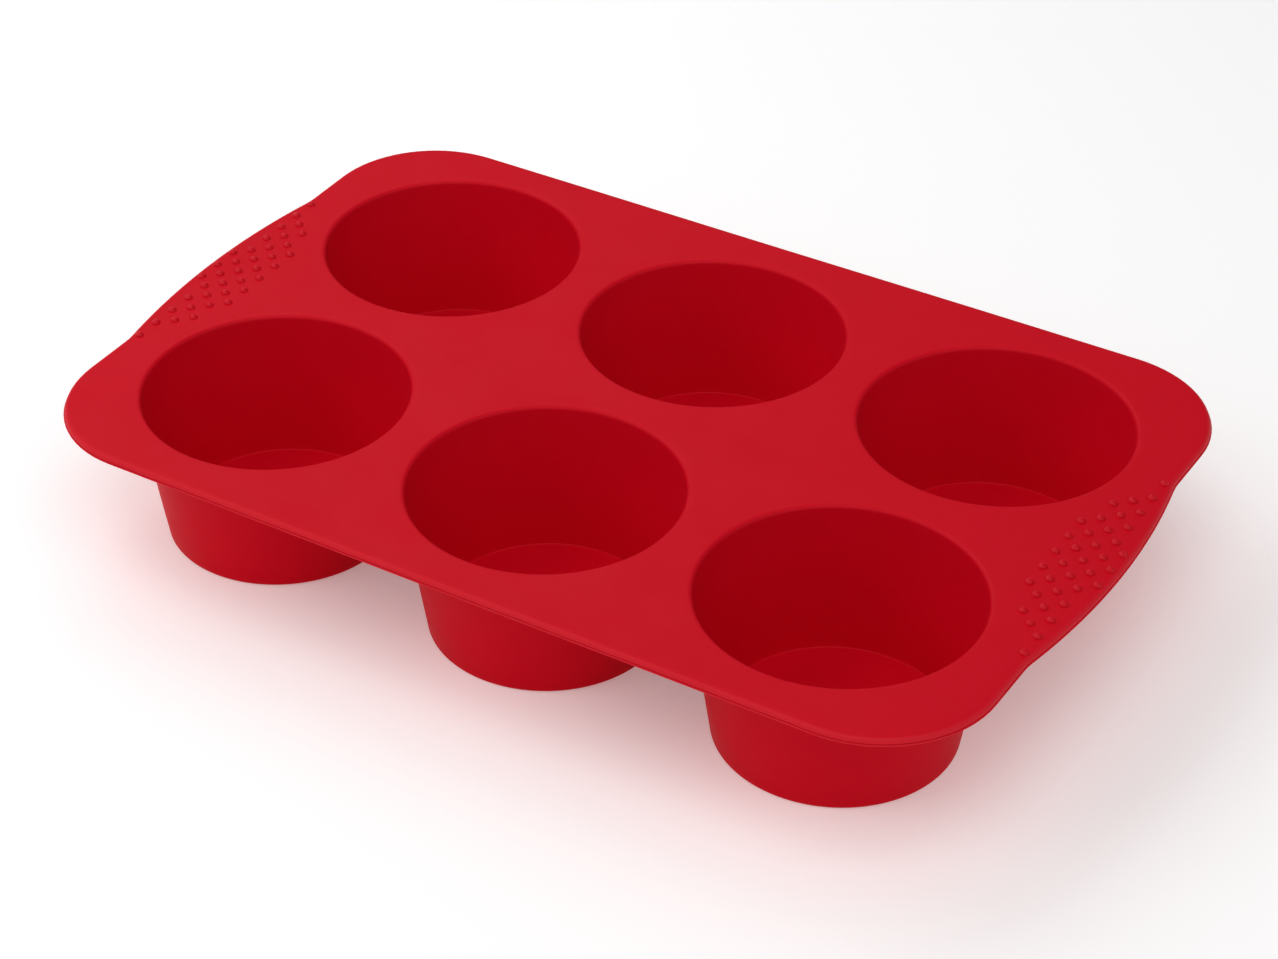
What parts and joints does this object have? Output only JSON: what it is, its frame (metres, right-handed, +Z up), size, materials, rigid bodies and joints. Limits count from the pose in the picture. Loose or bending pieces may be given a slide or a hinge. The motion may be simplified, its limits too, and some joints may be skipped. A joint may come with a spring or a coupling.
{
  "type": "muffin mould",
  "caption": "Flexible silicone muffin mould: round tapered cups hang from a flat deck with rounded corners and dotted grip tabs on its short sides",
  "frame": {"origin": "on the surface that the cups stand on, under the middle of the mould", "axes": "+X along the length, towards the right grip; +Y from the front row of cups to the back row; +Z up, out of the cup mouths"},
  "size_m": [0.2884, 0.1882, 0.0446],
  "materials": {
    "cup_silicone": "satin silicone, smooth moulded surface",
    "deck_silicone": "satin silicone, smooth moulded surface",
    "dot_silicone": "satin silicone, smooth raised dots"
  },
  "bodies": {
    "root": {"cup_front_left": "cup_silicone", "cup_front_centre": "cup_silicone", "cup_front_right": "cup_silicone", "cup_back_left": "cup_silicone", "cup_back_centre": "cup_silicone", "cup_back_right": "cup_silicone", "deck": "deck_silicone", "grip_left": "deck_silicone", "grip_right": "deck_silicone", "grip_dots_left": "dot_silicone", "grip_dots_right": "dot_silicone"}
  },
  "joints": []
}
